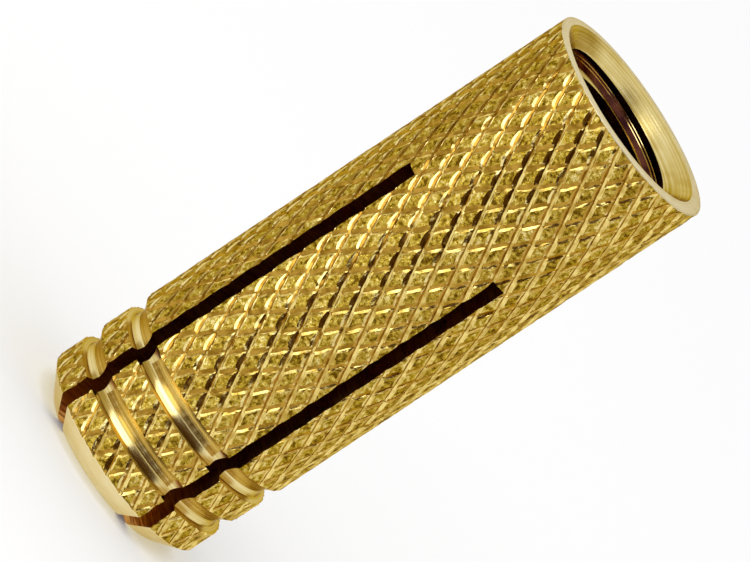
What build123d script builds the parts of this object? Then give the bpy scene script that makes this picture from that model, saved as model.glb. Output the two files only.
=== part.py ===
from build123d import *
import os
from math import ceil, cos, pi, radians, sin, tan

# Brass expansion anchor in millimetres: a knurled sleeve turned from one bar, threaded
# at its mouth and sawn into four jaws at its tip. A screw driven through the thread
# into the narrowing bore spreads the jaws against the wall of a drilled hole.
# The origin is the middle of the tip face, +Z runs to the mouth and -Y is the front.

# Sleeve
body_d = 8.0
length = 22.0

# Knurl: two crossing sets of helical grooves, which leave rows of raised diamonds. A
# diamond's width is measured round the sleeve, and its pitch along it.
knurl_width = 0.785
knurl_pitch = 1.28
knurl_depth = 0.05
knurl_turn = -2.0

# Tip: a chamfer, then two turned grooves with a land in front of each
tip_d = 6.1
chamfer_length = 0.85
land_length = 1.01
groove_count = 2
groove_length = 0.87
groove_depth = 0.36
groove_wall_run = 0.07
groove_floor = 0.10
groove_lip_angle = 36.0

# Saw cuts: two cuts right across the sleeve, which leave two wide and two narrower jaws
slot_width = 0.6
first_slot_turn = -41.2
first_slot_length = 15.35
second_slot_turn = 36.4
second_slot_length = 15.63

# Mouth and bore: the thread's core, then a cone down to the narrow hole between the jaws
thread_d = 6.0
thread_pitch = 1.0
thread_length = 11.0
countersink_d = 6.94
countersink_angle = 90.0
tip_bore_d = 3.0
tip_bore_length = 3.5

# Height of a coarse thread's profile on the diameter, as a multiple of its pitch
THREAD_HEIGHT = 1.0825
# Bar left outside the knurl's crests while the sleeve is turned, and past its ends
BAR_ALLOWANCE = 0.2

body_r = body_d / 2
bar_r = body_r + BAR_ALLOWANCE
knurl_starts = round(pi * body_d / knurl_width)
core_r = (thread_d - THREAD_HEIGHT * thread_pitch) / 2
countersink_r = countersink_d / 2
countersink_length = (countersink_r - core_r) / tan(radians(countersink_angle / 2))
chamfer_slope = chamfer_length / (body_r - tip_d / 2)


def knurl_point(column, row):
    """One corner of the knurl: a crest where column and row are both even or both odd."""
    is_crest = (column + row) % 2 == 1
    r = body_r if is_crest else body_r - knurl_depth
    turn = radians(knurl_turn) + pi * column / knurl_starts
    return Vector(r * sin(turn), -r * cos(turn), length - row * knurl_pitch / 2)


def facet(*corners):
    """A flat face between corners."""
    return Face(Wire.make_polygon(corners, close=True))


def knurled_bar():
    """A bar as long as the sleeve whose whole surface is the knurl's four-sided points."""
    columns = 2 * knurl_starts
    rows = ceil(2 * length / knurl_pitch) + 1
    faces = [facet(*[knurl_point(column, row) for column in range(columns)]) for row in (0, rows)]
    for row in range(rows):
        for column in range(columns):
            near, far = knurl_point(column, row), knurl_point(column + 1, row)
            near_below, far_below = knurl_point(column, row + 1), knurl_point(column + 1, row + 1)
            # The fold runs between the two low corners, along a groove's bottom
            if (column + row) % 2 == 0:
                faces += [facet(near, far_below, far), facet(near, near_below, far_below)]
            else:
                faces += [facet(near, near_below, far), facet(far, near_below, far_below)]
    return Solid(Shell(faces))


def turned_groove(tip_edge):
    """One groove in the outline: steep wall, narrow floor, then a hollow rise to the next land."""
    floor_r = body_r - groove_depth
    wall_slope = groove_wall_run / groove_depth
    bar_edge = tip_edge - BAR_ALLOWANCE * wall_slope
    floor_start = tip_edge + groove_wall_run
    floor_end = floor_start + groove_floor
    lip = tip_edge + groove_length
    lip_run = BAR_ALLOWANCE / tan(radians(groove_lip_angle))
    Polyline((bar_r, bar_edge), (floor_r, floor_start), (floor_r, floor_end))
    ThreePointArc((floor_r, floor_end), (body_r, lip), (bar_r, lip + lip_run))
    return bar_edge, lip + lip_run


with BuildPart() as anchor_body:
    # The sleeve's turned outline, outside and inside
    with BuildSketch(Plane.XZ):
        with BuildLine():
            chamfer_end = chamfer_length + BAR_ALLOWANCE * chamfer_slope
            Polyline((tip_bore_d / 2, 0), (tip_d / 2, 0), (bar_r, chamfer_end))
            land_start = chamfer_end
            for number in range(groove_count):
                tip_edge = chamfer_length + land_length + number * (groove_length + land_length)
                land_end, next_land = turned_groove(tip_edge)
                Line((bar_r, land_start), (bar_r, land_end))
                land_start = next_land
            Polyline(
                (bar_r, land_start),
                (bar_r, length),
                (countersink_r, length),
                (core_r, length - countersink_length),
                (core_r, length - thread_length),
                (tip_bore_d / 2, tip_bore_length),
                (tip_bore_d / 2, 0),
            )
        make_face()
    revolve(axis=Axis.Z)

    # The two saw cuts, each right across from the tip
    for turn, depth in ((first_slot_turn, first_slot_length), (second_slot_turn, second_slot_length)):
        with Locations(Rotation(0, 0, turn)):
            Box(
                slot_width,
                2 * bar_r + BAR_ALLOWANCE,
                depth,
                align=(Align.CENTER, Align.CENTER, Align.MIN),
                mode=Mode.SUBTRACT,
            )

    # The knurl, rolled on the full bar, is what is left outside the turned cuts
    add(knurled_bar(), mode=Mode.INTERSECT)

anchor_body.part.label = "anchor_body"

os.makedirs("parts", exist_ok=True)
export_step(anchor_body.part, "parts/anchor_body.step")
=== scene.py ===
import random
from math import atan2, ceil, cos, pi, radians, sin, tan

import bmesh
import bpy
from mathutils import Matrix, Vector


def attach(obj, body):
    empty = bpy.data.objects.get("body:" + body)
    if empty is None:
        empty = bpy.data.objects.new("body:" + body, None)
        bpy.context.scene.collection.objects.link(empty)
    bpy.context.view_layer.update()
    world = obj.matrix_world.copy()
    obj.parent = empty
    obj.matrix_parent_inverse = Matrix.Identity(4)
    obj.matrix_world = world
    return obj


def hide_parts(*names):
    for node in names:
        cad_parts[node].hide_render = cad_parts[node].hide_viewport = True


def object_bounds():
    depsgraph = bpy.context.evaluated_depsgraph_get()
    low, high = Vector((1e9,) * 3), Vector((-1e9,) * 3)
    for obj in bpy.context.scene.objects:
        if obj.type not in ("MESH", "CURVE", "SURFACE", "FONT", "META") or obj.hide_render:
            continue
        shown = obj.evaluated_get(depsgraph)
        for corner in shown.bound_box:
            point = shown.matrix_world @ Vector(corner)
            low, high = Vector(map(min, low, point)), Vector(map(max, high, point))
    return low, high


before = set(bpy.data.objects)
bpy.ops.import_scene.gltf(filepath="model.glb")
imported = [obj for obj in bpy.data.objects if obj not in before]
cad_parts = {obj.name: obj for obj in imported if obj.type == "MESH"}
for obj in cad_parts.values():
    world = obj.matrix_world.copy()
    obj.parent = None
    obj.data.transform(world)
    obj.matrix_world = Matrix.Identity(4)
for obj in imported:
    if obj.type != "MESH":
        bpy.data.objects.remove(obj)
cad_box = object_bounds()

# Brass expansion anchor. Sizes are in millimetres, as on the drawing of the real sleeve, and
# MM turns them into metres where a mesh, a lamp or the camera is made.
MM = 0.001
box_low, box_high = cad_box

# The sleeve, from the frame's own box, and the bar that it is turned from
LENGTH = (box_high[2] - box_low[2]) / MM
BODY_R = (box_high[0] - box_low[0]) / 2 / MM
BAR_ALLOWANCE = 0.2
BAR_R = BODY_R + BAR_ALLOWANCE
TURNED_SEGMENTS = 192

# The tip's face and chamfer. The corner between them is rounded from TIP_ROUND inside it to a
# share of TIP_ROUND outside it, by way of a point TIP_INSET inside and above it.
TIP_R = 3.05
CHAMFER_LENGTH = 0.85
CHAMFER_SLOPE = CHAMFER_LENGTH / (BODY_R - TIP_R)
TIP_ROUND = 0.12
TIP_ROUND_SHARE = 0.7
TIP_INSET = 0.03
TIP_ROUND_STEPS = 5

# The ring grooves, counted from the tip: a land, then a steep wall, a hollow floor and a hollow
# rise to the next land. Their points are (height above the floor, distance from the wall's top),
# and the wall ends at WALL_FOOT above the floor.
LAND_LENGTH = 1.01
GROOVE_COUNT = 2
GROOVE_LENGTH = 0.87
GROOVE_DEPTH = 0.36
GROOVE_WALL_RUN = 0.07
WALL_FOOT = 0.07
FLOOR_MIDDLE = (0.022, 0.19)
FLOOR_END = (0.0, 0.32)
RISE_MIDDLE = (0.15, 0.63)
FLOOR_STEPS = 8
RISE_STEPS = 10

# The saw cuts: turn in degrees from the front, and length from the tip. The saw reaches a
# little past the bar and the tip.
SLOT_WIDTH = 0.6
SLOTS = ((-41.2, 15.35), (36.4, 15.63))
SAW_REACH = 0.5

# The rim's rounded edge: its size, then, as shares of it, the middle (inwards, down) and the
# end (inwards)
RIM_ROUND = 0.05
RIM_MIDDLE = (0.35, 0.3)
RIM_END = 1.1

# The countersink. Its edge is broken by a wider ring, a little off the centre towards -X and +Y.
COUNTERSINK_R = 3.47
BROKEN_EDGE_R = 3.55
BROKEN_EDGE_DROP = 0.17
BROKEN_EDGE_SHIFT = Vector((-0.10, 0.08, 0))

# The thread, and the bore behind it. The height of a coarse thread is a share of its pitch.
THREAD_R = 3.0
THREAD_PITCH = 1.0
THREAD_HEIGHT = 0.54125
THREAD_LENGTH = 10.6
THREAD_TURN = -121.0
THREAD_ROOT = 0.125
THREAD_ANGLE = 60.0
CORE_R = THREAD_R - THREAD_HEIGHT * THREAD_PITCH
BORE_LENGTH = 11.0
TIP_BORE_R = 1.5
TIP_BORE_LENGTH = 3.5
# The crest's upper edge is a nearly flat ring, from this share of the pitch above the last root
EDGE_START = 0.6885
EDGE_RISE = 0.020
EDGE_WIDTH = 0.15
# Fine ridges that the tap left on the upper flank, as shares of the way down it
FLANK_LINES = (0.475, 0.215)
LINE_HALF = 0.045
LINE_HEIGHT = 0.010
# The thread's cutter: how far it reaches inside the core, and how far its ends reach past its
# first and last turn
THREAD_SEGMENTS = 96
CUTTER_REACH = 0.06
CUTTER_SPARE_TURNS = 2
CUTTER_END_BELOW = 0.1
CUTTER_END_ABOVE = 1.5


def point_on(r, turn, z):
    """A point at radius r, turn radians round from the front (-Y towards +X), height z."""
    return Vector((r * sin(turn), -r * cos(turn), z))


# What finish each surface has. Every helper solid holds these materials in this order, so that
# a face keeps its own through the Boolean cuts.
FINISHES = (
    "knurl_top",
    "knurl_flank",
    "knurl_root_shade",
    "knurl_edge",
    "tip_chamfer",
    "mouth_rim",
    "countersink",
    "ring_groove",
    "saw_cut",
    "bore_thread_shade",
    "thread_edge",
)
KNURL_FINISHES = {"knurl_top", "knurl_flank", "knurl_root_shade", "knurl_edge"}


def new_object(name, points, faces, finishes):
    """A mesh object from points in millimetres, with one finish for all faces or one for each."""
    mesh = bpy.data.meshes.new(name)
    mesh.from_pydata([point * MM for point in points], [], faces)
    for finish in FINISHES:
        mesh.materials.append(bpy.data.materials.get(finish) or bpy.data.materials.new(finish))
    if isinstance(finishes, str):
        finishes = [finishes] * len(faces)
    mesh.polygons.foreach_set("material_index", [FINISHES.index(finish) for finish in finishes])
    shape = bmesh.new()
    shape.from_mesh(mesh)
    bmesh.ops.recalc_face_normals(shape, faces=shape.faces)
    shape.to_mesh(mesh)
    shape.free()
    solid = bpy.data.objects.new(name, mesh)
    bpy.context.scene.collection.objects.link(solid)
    return solid


# The knurl's two sets of helical grooves. A place across a set is (p or q) steps along its
# section, and steps count on from one groove to the next.
KNURL_STARTS = 32
KNURL_PITCH = 1.28
KNURL_TURN = -2.0
# The section across each set, as (share of the pitch, depth below the crest). Each groove has
# a wide flank and a steep one. The steep flank of the first set has a fine second line.
FIRST_GROOVES = (
    (0.000, 0.062),
    (0.140, 0.032),
    (0.280, 0.002),
    (0.360, 0.000),
    (0.600, 0.003),
    (0.808, 0.001),
    (0.860, 0.020),
    (0.890, 0.015),
)
SECOND_GROOVES = (
    (0.000, 0.042),
    (0.070, 0.021),
    (0.140, 0.001),
    (0.240, 0.000),
    (0.460, 0.003),
    (0.690, 0.001),
    (0.760, 0.005),
    (0.870, 0.023),
)
STEPS = len(FIRST_GROOVES)
# How far the second grooves are dragged aside between two of the first, as a share of the pitch
GROOVE_DRAG = (0.0, -0.045, -0.03, -0.01, 0.045, 0.085, 0.07, 0.03)
# A surface no deeper than this, in millimetres, belongs to a diamond's flat top. A wide flank is
# brown where it reaches deeper than its root's depth: painted shade, for the dark reflection in the
# groove's deep part.
TOP_DEPTH = 0.005
FIRST_ROOT_DEPTH = 0.040
SECOND_ROOT_DEPTH = 0.020
# The wide flank of a first groove has these steps. Towards each crossing it narrows to this share
# of its width, and keeps its slope.
FLANK_STEPS = (1, 2)
FLANK_TAPER = 0.45
# The steep flank of a first groove starts at this step. It and the groove's bottom waver by a
# share of the pitch.
STEEP_STEP = 5
KNURL_WANDER = 0.009
# How much the second grooves shift, as a share of the pitch, and change their depth, as a share
# of it, from one diamond to the next
KNURL_SHIFT = 0.012
DEPTH_CHANGE = 0.12
# How rough the surface is, in millimetres
KNURL_JITTER = 0.006
# How far each diamond's top leans, in millimetres across it, and how deep its middle then lies
TOP_LEAN = 0.016
TOP_SINK = 0.004
# The dimple in the middle of a diamond's top, and the least and most of its depth
DIMPLE_STEP = 4
DIMPLE_DEPTH = 0.028
DIMPLE_RANGE = (0.3, 1.2)
# Over this length the grooves run out at the rim, closed by the burr of the facing cut
RIM_FADE = 0.16
# Rows of diamonds past the sleeve's two ends, and how far past them the bar's own ends lie
ROWS_ABOVE = 2
ROWS_BELOW = 1
BAR_END = 3 * KNURL_PITCH
KNURL_SEED = 11


def knurl_finish(i, j):
    """The finish of a cell, from the slope of the deeper groove across it."""
    falls = []
    for grooves, step in ((FIRST_GROOVES, i), (SECOND_GROOVES, j)):
        here, there = grooves[step][1], grooves[(step + 1) % STEPS][1]
        falls.append((max(here, there), there - here, grooves is SECOND_GROOVES))
    depth, fall, second = max(falls)
    if depth <= TOP_DEPTH:
        return "knurl_top"
    # The steep flank is the one that falls into a first groove, and the one that rises out of a
    # second groove
    if (fall > 0) != second:
        return "knurl_edge"
    root_depth = SECOND_ROOT_DEPTH if second else FIRST_ROOT_DEPTH
    # The deep part of a wide flank gets the dark brown of painted shade
    return "knurl_root_shade" if depth > root_depth else "knurl_flank"


def tapered(share, depth, along):
    """A point of a wide flank moved towards its groove's bottom, most at the two crossings."""
    narrow = FLANK_TAPER + (1 - FLANK_TAPER) * sin(pi * along)
    bottom = FIRST_GROOVES[0][1]
    return share * narrow, bottom - (bottom - depth) * narrow


class Knurl:
    """The knurl's points, each made when it is first asked for."""

    def __init__(self):
        self.rng = random.Random(KNURL_SEED)
        self.points = []
        self.index = {}
        self.jitter = {}
        self.wander = {}

    def cell_jitter(self, first, second):
        """Three random numbers that belong to one diamond: its wobble and its top's two leans."""
        key = ((second - first) % (2 * KNURL_STARTS), first + second)
        if key not in self.jitter:
            self.jitter[key] = tuple(self.rng.gauss(0, 1) for _ in range(3))
        return self.jitter[key]

    def new_point(self, p, q):
        """The surface's point where these two steps meet."""
        (first, p_step), (second, q_step) = divmod(p, STEPS), divmod(q, STEPS)
        share_p, depth_p = FIRST_GROOVES[p_step]
        share_q, depth_q = SECOND_GROOVES[q_step]
        wobble, lean_p, lean_q = self.cell_jitter(first, second)
        if p_step in FLANK_STEPS:
            share_p, depth_p = tapered(share_p, depth_p, share_q)
        on_first = first + share_p
        if p_step == 0 or p_step >= STEEP_STEP:
            place = (first + (p_step >= STEEP_STEP), q)
            on_first += self.wander.setdefault(place, self.rng.gauss(0, KNURL_WANDER))
        on_second = second + share_q + GROOVE_DRAG[p_step]
        if p_step:
            on_second += KNURL_SHIFT * (wobble + self.rng.gauss(0, 1))
            depth_q *= 1 + DEPTH_CHANGE * wobble
        depth = max(depth_p, depth_q) + abs(self.rng.gauss(0, KNURL_JITTER))
        lean = lean_p * (share_p - 0.5) + lean_q * (share_q - 0.5)
        depth += max(0, TOP_SINK + TOP_LEAN * lean)
        if p_step == q_step == DIMPLE_STEP:
            depth += DIMPLE_DEPTH * self.rng.uniform(*DIMPLE_RANGE)
        turn = radians(KNURL_TURN) + pi * (on_second - on_first) / KNURL_STARTS
        down = KNURL_PITCH * (on_first + on_second) / 2
        depth *= min(1, max(0, down / RIM_FADE))
        return point_on(BODY_R - depth, turn, LENGTH - down)

    def vertex(self, p, q):
        """The number of the point where these two steps meet, the same after a whole turn."""
        turn_steps = KNURL_STARTS * STEPS
        turns = (q - p) // (2 * turn_steps)
        key = (p + turns * turn_steps, q - turns * turn_steps)
        if key not in self.index:
            self.index[key] = len(self.points)
            self.points.append(self.new_point(*key))
        return self.index[key]

    def cell(self, p, q):
        """Two triangles from one step to the next, which meet between the two lower corners."""
        near, left = self.vertex(p, q), self.vertex(p + 1, q)
        far, right = self.vertex(p + 1, q + 1), self.vertex(p, q + 1)
        ridge = self.points[near].xy.length + self.points[far].xy.length
        cross = self.points[left].xy.length + self.points[right].xy.length
        if ridge < cross:
            return [(near, left, far), (near, far, right)]
        return [(near, left, right), (left, far, right)]


def close_ends(solid):
    """Close the knurled bar's two ends, each with a cone to a point on the axis."""
    bar = bmesh.new()
    bar.from_mesh(solid.data)
    half_way = LENGTH / 2 * MM
    for above, height in ((True, LENGTH + BAR_END), (False, -BAR_END)):
        middle = bar.verts.new((0, 0, height * MM))
        edges = [e for e in bar.edges if e.is_boundary and (e.verts[0].co.z > half_way) == above]
        for edge in edges:
            bar.faces.new((*edge.verts, middle))
    bmesh.ops.recalc_face_normals(bar, faces=bar.faces)
    bar.to_mesh(solid.data)
    bar.free()


def knurled_bar():
    """A closed bar, longer than the sleeve, whose surface is rows of flat-topped diamonds."""
    knurl = Knurl()
    faces = []
    finishes = []
    last_row = ceil(2 * LENGTH / KNURL_PITCH) + ROWS_BELOW
    for row in range(-ROWS_ABOVE, last_row + 1):
        for start in range(KNURL_STARTS):
            first = row // 2 - start
            second = row - first
            for i in range(STEPS):
                for j in range(STEPS):
                    faces += knurl.cell(first * STEPS + i, second * STEPS + j)
                    finishes += [knurl_finish(i, j)] * 2
    solid = new_object("knurled_bar", knurl.points, faces, finishes)
    close_ends(solid)
    return solid


def arc(start, middle, end, steps):
    """Points on the circle through three points of the outline, without the first."""
    (ax, ay), (bx, by), (cx, cy) = start, middle, end
    a, b, c = (x**2 + y**2 for x, y in (start, middle, end))
    d = 2 * (ax * (by - cy) + bx * (cy - ay) + cx * (ay - by))
    centre_x = (a * (by - cy) + b * (cy - ay) + c * (ay - by)) / d
    centre_y = (a * (cx - bx) + b * (ax - cx) + c * (bx - ax)) / d
    radius = ((ax - centre_x) ** 2 + (ay - centre_y) ** 2) ** 0.5
    first = atan2(ay - centre_y, ax - centre_x)
    sweep = atan2(cy - centre_y, cx - centre_x) - first
    sweep = (sweep + pi) % (2 * pi) - pi
    angles = [first + sweep * (i + 1) / steps for i in range(steps)]
    return [(centre_x + radius * cos(angle), centre_y + radius * sin(angle)) for angle in angles]


def tip_runs():
    """The outline over the tip's face and chamfer, as (finish, points)."""
    round_start = (TIP_R - TIP_ROUND, 0.0)
    round_middle = (TIP_R - TIP_INSET, TIP_INSET)
    round_out = TIP_ROUND * TIP_ROUND_SHARE
    round_end = (TIP_R + round_out, round_out * CHAMFER_SLOPE)
    return [
        ("bore_thread_shade", [(TIP_BORE_R, 0.0)]),
        ("tip_chamfer", [round_start]),
        ("tip_chamfer", arc(round_start, round_middle, round_end, TIP_ROUND_STEPS)),
        ("tip_chamfer", [(BAR_R, CHAMFER_LENGTH + BAR_ALLOWANCE * CHAMFER_SLOPE)]),
    ]


def groove_runs(number):
    """The outline from the end of a land over the ring groove behind it."""
    edge = CHAMFER_LENGTH + LAND_LENGTH + number * (GROOVE_LENGTH + LAND_LENGTH)
    floor_r = BODY_R - GROOVE_DEPTH
    wall_slope = GROOVE_WALL_RUN / GROOVE_DEPTH
    wall_foot = (floor_r + WALL_FOOT, edge + GROOVE_WALL_RUN - WALL_FOOT * wall_slope)
    floor_middle, floor_end, rise_middle = (
        (floor_r + height, edge + along) for height, along in (FLOOR_MIDDLE, FLOOR_END, RISE_MIDDLE)
    )
    lip = (BODY_R, edge + GROOVE_LENGTH)
    return [
        ("knurl_top", [(BAR_R, edge - BAR_ALLOWANCE * wall_slope)]),
        ("ring_groove", [wall_foot]),
        ("ring_groove", arc(wall_foot, floor_middle, floor_end, FLOOR_STEPS)),
        ("ring_groove", arc(floor_end, rise_middle, lip, RISE_STEPS)),
        ("ring_groove", [(BAR_R, lip[1] + BAR_ALLOWANCE)]),
    ]


def mouth_runs():
    """The outline over the rim, down the countersink and through the bore."""
    rim_in, rim_down = (RIM_ROUND * share for share in RIM_MIDDLE)
    return [
        ("knurl_top", [(BAR_R, LENGTH - RIM_ROUND - BAR_ALLOWANCE)]),
        ("mouth_rim", [(BODY_R, LENGTH - RIM_ROUND), (BODY_R - rim_in, LENGTH - rim_down)]),
        ("mouth_rim", [(BODY_R - RIM_ROUND * RIM_END, LENGTH), (BROKEN_EDGE_R, LENGTH)]),
        ("countersink", [(COUNTERSINK_R - BROKEN_EDGE_DROP, LENGTH - BROKEN_EDGE_DROP)]),
        ("countersink", [(CORE_R, LENGTH - (COUNTERSINK_R - CORE_R))]),
        ("bore_thread_shade", [(CORE_R, LENGTH - BORE_LENGTH), (TIP_BORE_R, TIP_BORE_LENGTH)]),
    ]


def turned_outline():
    """The sleeve's half section as points (radius, height), and the finish of the way to each."""
    runs = tip_runs()
    for number in range(GROOVE_COUNT):
        runs += groove_runs(number)
    runs += mouth_runs()
    points = [point for _, run in runs for point in run]
    finishes = [finish for finish, run in runs for _ in run]
    return points, finishes


def turned_sleeve():
    """The sleeve before its saw cuts, its outline spun round the axis."""
    outline, ways = turned_outline()
    count = len(outline)
    broken_edge = outline.index((BROKEN_EDGE_R, LENGTH))
    points = []
    faces = []
    finishes = []
    for segment in range(TURNED_SEGMENTS):
        turn = 2 * pi * segment / TURNED_SEGMENTS
        ring = [point_on(r, turn, z) for r, z in outline]
        ring[broken_edge] += BROKEN_EDGE_SHIFT
        points += ring
        here = segment * count
        there = (segment + 1) % TURNED_SEGMENTS * count
        for i in range(count):
            j = (i + 1) % count
            faces.append((here + i, there + i, there + j, here + j))
            finishes.append(ways[j])
    return new_object("turned_sleeve", points, faces, finishes)


def thread_section():
    """One turn of the cutter's outline: (share of the pitch, radius, finish of the way on)."""
    inner_r = CORE_R - CUTTER_REACH
    flank = tan(radians(THREAD_ANGLE / 2)) * (THREAD_R - CORE_R + CUTTER_REACH) / THREAD_PITCH
    section = [
        (0.0, THREAD_R, "bore_thread_shade"),
        (THREAD_ROOT, THREAD_R, "bore_thread_shade"),
        (THREAD_ROOT + flank, inner_r, "bore_thread_shade"),
        (EDGE_START - EDGE_RISE * CUTTER_REACH / EDGE_WIDTH, inner_r, "thread_edge"),
        (EDGE_START + EDGE_RISE, CORE_R + EDGE_WIDTH, "bore_thread_shade"),
    ]
    ridge = ((1, 0, "thread_edge"), (0, LINE_HEIGHT, "thread_edge"), (-1, 0, "bore_thread_shade"))
    for share in FLANK_LINES:
        for across, lift, finish in ridge:
            down = share + across * LINE_HALF
            along = 1 - (1 - EDGE_START - EDGE_RISE) * down + lift
            r = THREAD_R - (THREAD_R - CORE_R - EDGE_WIDTH) * down - lift
            section.append((along, r, finish))
    return section


def thread_points(section, start, last):
    """The cutter's points, one row up along it for each segment of a turn."""
    points = []
    for segment in range(THREAD_SEGMENTS):
        share = segment / THREAD_SEGMENTS
        turn = radians(THREAD_TURN) + 2 * pi * share
        for i in range(last + 1):
            count, step = divmod(i, len(section))
            along, r, _ = section[step]
            points.append(point_on(r, turn, start + THREAD_PITCH * (share + count + along)))
    return points


def fan(points, ring, height, ahead):
    """Triangles from a ring of points to a new point on the axis, which face up it or down."""
    middle = len(points)
    points.append(Vector((0, 0, height)))
    pairs = zip(ring, ring[1:] + ring[:1])
    return [(here, there, middle) if ahead else (there, here, middle) for here, there in pairs]


def thread_cutter():
    """A screw with the thread's form, which leaves the right-hand internal thread."""
    section = thread_section()
    per_turn = len(section)
    turns = ceil(THREAD_LENGTH / THREAD_PITCH) + CUTTER_SPARE_TURNS
    last = turns * per_turn
    last_segment = THREAD_SEGMENTS - 1
    start = LENGTH - THREAD_LENGTH
    points = thread_points(section, start, last)

    def vertex(segment, i):
        # Behind the last segment comes the first again, one turn higher
        if segment > last_segment:
            return i + per_turn
        return segment * (last + 1) + i

    faces = []
    finishes = []
    for segment in range(THREAD_SEGMENTS):
        rows = last if segment < last_segment else last - per_turn
        for i in range(rows):
            corners = ((segment, i), (segment + 1, i), (segment + 1, i + 1), (segment, i + 1))
            faces.append(tuple(vertex(*corner) for corner in corners))
            finishes.append(section[i % per_turn][2])

    bottom = [vertex(segment, 0) for segment in range(THREAD_SEGMENTS)]
    bottom += [vertex(0, i) for i in range(per_turn, 0, -1)]
    top = [vertex(segment, last) for segment in range(THREAD_SEGMENTS)]
    top += [vertex(last_segment, i) for i in range(last - 1, last - per_turn - 1, -1)]
    top_height = start + turns * THREAD_PITCH + CUTTER_END_ABOVE
    faces += fan(points, bottom, start - CUTTER_END_BELOW, False)
    faces += fan(points, top, top_height, True)
    finishes += ["bore_thread_shade"] * (len(faces) - len(finishes))
    return new_object("thread_cutter", points, faces, finishes)


def saw_cut(name, turn, length):
    """A block as thick as the saw, right across the sleeve."""
    half, reach = SLOT_WIDTH / 2, BAR_R + SAW_REACH
    heights = (-SAW_REACH, length)
    corners = [(x, y, z) for x in (-half, half) for y in (-reach, reach) for z in heights]
    turned = Matrix.Rotation(radians(turn), 3, "Z")
    faces = [(0, 1, 3, 2), (4, 6, 7, 5), (0, 4, 5, 1), (2, 3, 7, 6), (0, 2, 6, 4), (1, 5, 7, 3)]
    return new_object(name, [turned @ Vector(corner) for corner in corners], faces, "saw_cut")


def cut_sleeve():
    """The finished sleeve as one closed mesh: turned, sawn, threaded and knurled."""
    sleeve = turned_sleeve()
    cutters = [(thread_cutter(), "DIFFERENCE")]
    for number, (turn, length) in enumerate(SLOTS, 1):
        cutters.append((saw_cut(f"saw_cut_{number}", turn, length), "DIFFERENCE"))
    cutters.append((knurled_bar(), "INTERSECT"))
    for cutter, operation in cutters:
        step = sleeve.modifiers.new(cutter.name, "BOOLEAN")
        step.object = cutter
        step.operation = operation
        step.solver = "MANIFOLD"
    finished = sleeve.evaluated_get(bpy.context.evaluated_depsgraph_get())
    shape = bpy.data.meshes.new_from_object(finished)
    for helper in [sleeve] + [cutter for cutter, _ in cutters]:
        mesh = helper.data
        bpy.data.objects.remove(helper)
        bpy.data.meshes.remove(mesh)
    shape.name = "anchor_sleeve"
    return bpy.data.objects.new("anchor_sleeve", shape)


# Edges that fold more than this, in degrees, stay sharp. The limit is lower within a ring groove,
# and lower still between two finishes of the knurl.
SHARP_ANGLE = 24.0
GROOVE_ANGLE = 14.0
KNURL_ANGLE = 7.0


def is_smooth(edge):
    """Whether the shading runs on over an edge. It doesn't where one part's finish ends."""
    kinds = {FINISHES[face.material_index] for face in edge.link_faces}
    if len(kinds) > 1 and not kinds <= KNURL_FINISHES:
        return False
    if len(kinds) > 1:
        limit = KNURL_ANGLE
    else:
        limit = GROOVE_ANGLE if "ring_groove" in kinds else SHARP_ANGLE
    return edge.calc_face_angle(0) < radians(limit)


def set_shading(mesh):
    """Smooth faces, with sharp edges where the surface folds or its finish changes."""
    shape = bmesh.new()
    shape.from_mesh(mesh)
    for face in shape.faces:
        face.smooth = True
    for edge in shape.edges:
        edge.smooth = is_smooth(edge)
    shape.to_mesh(mesh)
    shape.free()


anchor = cut_sleeve()
bpy.context.scene.collection.objects.link(anchor)
set_shading(anchor.data)

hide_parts("anchor_body")
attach(anchor, "root")


# Finishes: the same brass everywhere, as it was rolled, turned, sawn or tapped, with painted shade
# in the knurl's groove roots, in the saw cuts and in the bore. A pattern's scale is in features to
# a metre, a colour's position and a share run from 0 to 1, and a relief is in millimetres.
# The brass at a glancing view, and the thin clear film that lies on it
EDGE_TINT = (0.58, 0.44, 0.17, 1)
FILM_WEIGHT = 0.05
FILM_ROUGHNESS = 0.2
# The middle range of a noise, which its levels are spread over
NOISE_LOW = 0.3
NOISE_HIGH = 0.7


def put(tree, kind, inputs, **settings):
    """A new node, with each input set to a value or joined to another node's output."""
    node = tree.nodes.new(kind)
    for name, value in settings.items():
        setattr(node, name, value)
    for name, value in inputs.items():
        if isinstance(value, bpy.types.NodeSocket):
            tree.links.new(value, node.inputs[name])
        else:
            node.inputs[name].default_value = value
    return node


def maths(tree, operation, first, second):
    """The result of one operation on two patterns or numbers."""
    inputs = {0: first, 1: second}
    return put(tree, "ShaderNodeMath", inputs, operation=operation).outputs["Value"]


def mottle(tree, scale, detail=2.0, stretch=(1, 1, 1)):
    """Cloudy noise in the object's own space, from 0 to 1."""
    place = put(tree, "ShaderNodeTexCoord", {}).outputs["Object"]
    if stretch != (1, 1, 1):
        stretched = put(tree, "ShaderNodeMapping", {"Vector": place, "Scale": stretch})
        place = stretched.outputs["Vector"]
    noise = put(tree, "ShaderNodeTexNoise", {"Vector": place, "Scale": scale, "Detail": detail})
    return noise.outputs["Fac"]


def turning_marks(tree, scale, detail=3.0):
    """Rings round the axis, as a lathe tool leaves them on a face, a cone or a groove."""
    place = put(tree, "ShaderNodeTexCoord", {}).outputs["Object"]
    flat = put(tree, "ShaderNodeVectorMath", {0: place, 1: (1, 1, 0)}, operation="MULTIPLY")
    r = put(tree, "ShaderNodeVectorMath", {0: flat.outputs["Vector"]}, operation="LENGTH")
    z = put(tree, "ShaderNodeSeparateXYZ", {"Vector": place}).outputs["Z"]
    along = maths(tree, "ADD", r.outputs["Value"], z)
    inputs = {"W": along, "Scale": scale, "Detail": detail}
    return put(tree, "ShaderNodeTexNoise", inputs, noise_dimensions="1D").outputs["Fac"]


def blend(tree, first, second, share):
    """Two patterns added, the second with this share."""
    rest = maths(tree, "MULTIPLY", first, 1 - share)
    part = maths(tree, "MULTIPLY", second, share)
    return maths(tree, "ADD", rest, part)


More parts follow.
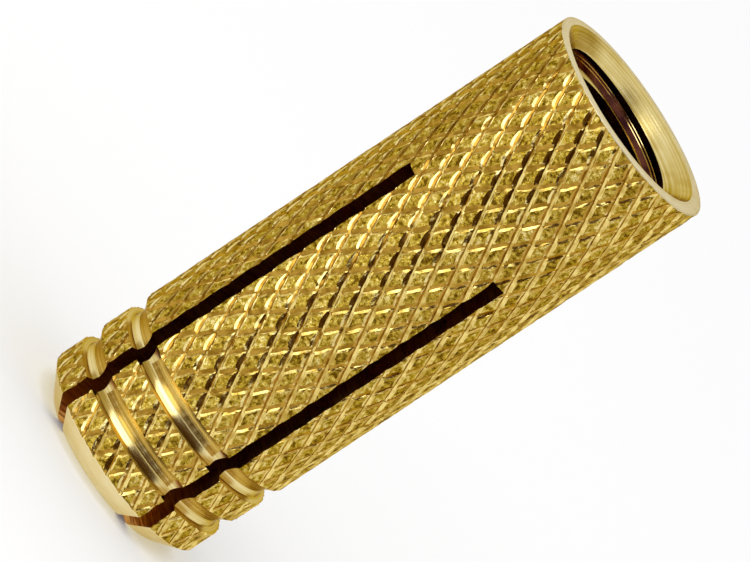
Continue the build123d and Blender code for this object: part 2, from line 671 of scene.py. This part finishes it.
def colour_ramp(tree, pattern, *stops):
    """Colours spread over a pattern, as (position, colour)."""
    ramp = put(tree, "ShaderNodeValToRGB", {"Fac": pattern})
    steps = ramp.color_ramp.elements
    while len(steps) < len(stops):
        steps.new(0.5)
    for step, (position, colour) in zip(steps, stops):
        step.position = position
        step.color = (*colour, 1)
    return ramp.outputs["Color"]


def level(tree, pattern, low, high):
    """A pattern's middle range spread from low to high."""
    spread = {
        "Value": pattern,
        "From Min": NOISE_LOW,
        "From Max": NOISE_HIGH,
        "To Min": low,
        "To Max": high,
    }
    return put(tree, "ShaderNodeMapRange", spread).outputs["Result"]


def finish_metal(name, colour, roughness, height, relief):
    """Give a finish its colour, roughness and relief; each is a function of the node tree."""
    material = bpy.data.materials[name]
    material.use_nodes = True
    tree = material.node_tree
    shader = tree.nodes["Principled BSDF"]
    shader.inputs["Metallic"].default_value = 1.0
    shader.inputs["Specular Tint"].default_value = EDGE_TINT
    shader.inputs["Coat Weight"].default_value = FILM_WEIGHT
    shader.inputs["Coat Roughness"].default_value = FILM_ROUGHNESS
    tree.links.new(colour(tree), shader.inputs["Base Color"])
    tree.links.new(roughness(tree), shader.inputs["Roughness"])
    bump = put(tree, "ShaderNodeBump", {"Height": height(tree), "Distance": relief * MM})
    tree.links.new(bump.outputs["Normal"], shader.inputs["Normal"])


finish_metal(
    "knurl_top",
    colour=lambda tree: colour_ramp(
        tree,
        blend(tree, mottle(tree, 6500, 3), mottle(tree, 1100), 0.3),
        (0.39, (0.15, 0.08, 0.003)),
        (0.48, (0.45, 0.295, 0.024)),
        (0.56, (0.62, 0.445, 0.072)),
        (0.64, (0.86, 0.70, 0.260)),
    ),
    roughness=lambda tree: level(tree, mottle(tree, 4000), 0.20, 0.32),
    height=lambda tree: blend(tree, mottle(tree, 8500), mottle(tree, 22000, 1), 0.3),
    relief=0.080,
)
finish_metal(
    "knurl_flank",
    colour=lambda tree: colour_ramp(
        tree,
        mottle(tree, 2500),
        (0.35, (0.65, 0.49, 0.150)),
        (0.65, (0.86, 0.70, 0.300)),
    ),
    roughness=lambda tree: level(tree, mottle(tree, 3000), 0.08, 0.13),
    height=lambda tree: mottle(tree, 12000),
    relief=0.003,
)
# Painted shade: a dark brown where a wide flank runs deep, for the dark reflections in the groove
# roots
finish_metal(
    "knurl_root_shade",
    colour=lambda tree: colour_ramp(
        tree,
        mottle(tree, 3000),
        (0.35, (0.27, 0.138, 0.010)),
        (0.65, (0.54, 0.315, 0.045)),
    ),
    roughness=lambda tree: level(tree, mottle(tree, 3000), 0.14, 0.22),
    height=lambda tree: mottle(tree, 12000),
    relief=0.003,
)
finish_metal(
    "knurl_edge",
    colour=lambda tree: colour_ramp(
        tree,
        mottle(tree, 2500),
        (0.38, (0.54, 0.36, 0.070)),
        (0.62, (0.90, 0.70, 0.230)),
    ),
    roughness=lambda tree: level(tree, mottle(tree, 3000), 0.16, 0.24),
    height=lambda tree: mottle(tree, 12000),
    relief=0.006,
)
finish_metal(
    "tip_chamfer",
    colour=lambda tree: colour_ramp(
        tree,
        blend(tree, turning_marks(tree, 9000), mottle(tree, 1500), 0.4),
        (0.35, (0.93, 0.75, 0.38)),
        (0.65, (1.00, 0.89, 0.57)),
    ),
    roughness=lambda tree: level(tree, mottle(tree, 2500), 0.30, 0.42),
    height=lambda tree: turning_marks(tree, 14000),
    relief=0.006,
)
finish_metal(
    "mouth_rim",
    colour=lambda tree: colour_ramp(
        tree,
        blend(tree, turning_marks(tree, 9000), mottle(tree, 1500), 0.4),
        (0.35, (0.77, 0.70, 0.48)),
        (0.65, (0.89, 0.83, 0.63)),
    ),
    roughness=lambda tree: level(tree, mottle(tree, 2500), 0.34, 0.46),
    height=lambda tree: turning_marks(tree, 14000),
    relief=0.008,
)
finish_metal(
    "countersink",
    colour=lambda tree: colour_ramp(
        tree,
        blend(tree, turning_marks(tree, 6000), mottle(tree, 900), 0.45),
        (0.36, (0.50, 0.36, 0.09)),
        (0.50, (0.64, 0.50, 0.18)),
        (0.66, (0.80, 0.68, 0.34)),
    ),
    roughness=lambda tree: level(tree, turning_marks(tree, 7000), 0.16, 0.28),
    height=lambda tree: turning_marks(tree, 9000),
    relief=0.010,
)
finish_metal(
    "ring_groove",
    colour=lambda tree: colour_ramp(
        tree,
        turning_marks(tree, 7000),
        (0.35, (0.66, 0.50, 0.17)),
        (0.65, (0.84, 0.70, 0.34)),
    ),
    roughness=lambda tree: level(tree, turning_marks(tree, 9000), 0.15, 0.22),
    height=lambda tree: turning_marks(tree, 12000),
    relief=0.002,
)
# Painted shade: the saw cuts are a dark red-brown for the shade inside the slots. Their stretched
# streaks are saw marks.
finish_metal(
    "saw_cut",
    colour=lambda tree: colour_ramp(
        tree,
        blend(tree, mottle(tree, 900, 3, (1, 1, 12)), mottle(tree, 1200), 0.4),
        (0.35, (0.32, 0.10, 0.04)),
        (0.65, (0.62, 0.32, 0.08)),
    ),
    roughness=lambda tree: level(tree, mottle(tree, 1500), 0.25, 0.40),
    height=lambda tree: mottle(tree, 900, 3, (1, 1, 12)),
    relief=0.020,
)
# Painted shade: the bore and the thread are nearly black, for the shade inside the bore
finish_metal(
    "bore_thread_shade",
    colour=lambda tree: colour_ramp(
        tree,
        mottle(tree, 1500, 3),
        (0.35, (0.030, 0.006, 0.008)),
        (0.65, (0.12, 0.035, 0.020)),
    ),
    roughness=lambda tree: level(tree, mottle(tree, 2500), 0.12, 0.22),
    height=lambda tree: mottle(tree, 6000),
    relief=0.006,
)
# The crest's edge and the tap's ridges keep a plain brass colour, so against the painted shade of
# the bore they show as thin golden lines
finish_metal(
    "thread_edge",
    colour=lambda tree: colour_ramp(
        tree,
        mottle(tree, 1500, 3),
        (0.35, (0.62, 0.42, 0.12)),
        (0.65, (0.86, 0.70, 0.34)),
    ),
    roughness=lambda tree: level(tree, mottle(tree, 2500), 0.12, 0.22),
    height=lambda tree: mottle(tree, 6000),
    relief=0.004,
)


# Camera: the photograph's view, which looks down on the standing anchor and is rolled. Its clip
# distances are in metres.
PHOTO_WIDTH, PHOTO_HEIGHT = 750, 562
PIXELS_PER_MM = 29.625
MOUTH_PIXEL = (632.0, 116.0)
AXIS_ANGLE = 33.55
ELEVATION = 13.9
LENS = 1200.0
SENSOR = 36.0
CLIP_START = 0.01
CLIP_END = 10


def place_camera():
    """A long lens, because the photograph shows no perspective."""
    tilt, roll = radians(ELEVATION), radians(AXIS_ANGLE)
    look = Vector((0, cos(tilt), -sin(tilt)))
    side = Vector((1, 0, 0))
    rise = Vector((0, sin(tilt), cos(tilt)))
    right = sin(roll) * side + cos(roll) * rise
    up = -cos(roll) * side + sin(roll) * rise
    across = (PHOTO_WIDTH / 2 - MOUTH_PIXEL[0]) / PIXELS_PER_MM
    above = (MOUTH_PIXEL[1] - PHOTO_HEIGHT / 2) / PIXELS_PER_MM
    aim = Vector((0, 0, LENGTH)) + across * right + above * up
    distance = PHOTO_WIDTH / PIXELS_PER_MM * LENS / SENSOR
    data = bpy.data.cameras.new("camera")
    data.lens = LENS
    data.sensor_width = SENSOR
    data.clip_start = CLIP_START
    data.clip_end = CLIP_END
    camera = bpy.data.objects.new("camera", data)
    axes = Matrix((right, up, -look)).transposed().to_4x4()
    camera.matrix_world = Matrix.Translation((aim - look * distance) * MM) @ axes
    bpy.context.scene.collection.objects.link(camera)
    bpy.context.scene.camera = camera


place_camera()


# Studio, in metres. A direction is (turn from the front towards +X, rise above the horizon) in
# degrees, and a size is (width, height).
FLOOR_HALF = 3.0
FLOOR_WHITE = 0.92
MATT_ROUGHNESS = 0.9
WORLD_STRENGTH = 1.0
CARD_DISTANCE = 0.20
DARK = (0.075, 0.034, 0.007)
# What the metal reflects besides the white surroundings: (name, direction, size, colour)
CARDS = (
    ("side_card", (21.0, 24.0), (0.17, 0.24), DARK),
    ("brown_card", (78.0, 20.0), (0.18, 0.20), (0.54, 0.40, 0.16)),
    ("left_card", (-72.0, 20.0), (0.215, 0.20), (0.42, 0.33, 0.12)),
    ("rear_card", (148.0, 20.0), (0.10, 0.18), (0.56, 0.48, 0.28)),
    ("top_card", (50.0, 75.0), (0.065, 0.05), DARK),
)
# (name, direction, size, distance, watts)
LAMPS = (
    ("key", (-24.5, 20.0), (0.22, 0.20), 0.30, 0.245),
    ("top_lamp", (-45.0, 72.0), (0.05, 0.05), 0.20, 0.014),
)


def facing_object(direction, distance):
    """A place in that direction, turned to face the middle of the anchor."""
    turn, rise = (radians(angle) for angle in direction)
    out = Vector((sin(turn) * cos(rise), -cos(turn) * cos(rise), sin(rise)))
    middle = Vector((0, 0, LENGTH / 2 * MM))
    facing = out.to_track_quat("Z", "Y").to_matrix().to_4x4()
    return Matrix.Translation(middle + out * distance) @ facing


def plane(name, width, height, *colour):
    """A matt rectangle of the studio."""
    mesh = bpy.data.meshes.new(name)
    x, y = width / 2, height / 2
    mesh.from_pydata([(-x, -y, 0), (x, -y, 0), (x, y, 0), (-x, y, 0)], [], [(0, 1, 2, 3)])
    piece = bpy.data.objects.new(name, mesh)
    bpy.context.scene.collection.objects.link(piece)
    material = bpy.data.materials.new(name)
    material.use_nodes = True
    shader = material.node_tree.nodes["Principled BSDF"]
    shader.inputs["Base Color"].default_value = (*colour, 1)
    shader.inputs["Roughness"].default_value = MATT_ROUGHNESS
    shader.inputs["Specular IOR Level"].default_value = 0.0
    mesh.materials.append(material)
    return piece


def place_floor():
    """A matt pale floor with the object's shadow, which the metal reflects as plain white."""
    floor = plane("floor", 2 * FLOOR_HALF, 2 * FLOOR_HALF, FLOOR_WHITE, FLOOR_WHITE, FLOOR_WHITE)
    tree = floor.data.materials[0].node_tree
    glossy = put(tree, "ShaderNodeLightPath", {}).outputs["Is Glossy Ray"]
    white = put(tree, "ShaderNodeEmission", {"Color": (1, 1, 1, 1), "Strength": 1.0}).outputs[0]
    matt = tree.nodes["Principled BSDF"].outputs["BSDF"]
    mixed = put(tree, "ShaderNodeMixShader", {0: glossy, 1: matt, 2: white})
    tree.links.new(mixed.outputs["Shader"], tree.nodes["Material Output"].inputs["Surface"])


def place_card(name, direction, size, colour):
    """A matt card, which only the metal's reflections show."""
    card = plane(name, *size, *colour)
    card.matrix_world = facing_object(direction, CARD_DISTANCE)
    card.visible_camera = False
    card.visible_diffuse = False
    card.visible_shadow = False


def place_lamp(name, direction, size, distance, watts):
    """A rectangular lamp, turned to the anchor."""
    data = bpy.data.lights.new(name, "AREA")
    data.shape = "RECTANGLE"
    data.size, data.size_y = size
    data.energy = watts
    lamp = bpy.data.objects.new(name, data)
    lamp.matrix_world = facing_object(direction, distance)
    bpy.context.scene.collection.objects.link(lamp)


def place_world():
    """Even white light from all round."""
    world = bpy.data.worlds.new("studio")
    bpy.context.scene.world = world
    world.use_nodes = True
    background = world.node_tree.nodes["Background"]
    background.inputs["Color"].default_value = (1, 1, 1, 1)
    background.inputs["Strength"].default_value = WORLD_STRENGTH


place_floor()
for card in CARDS:
    place_card(*card)
for lamp in LAMPS:
    place_lamp(*lamp)
place_world()

bpy.context.scene.view_settings.view_transform = "Standard"
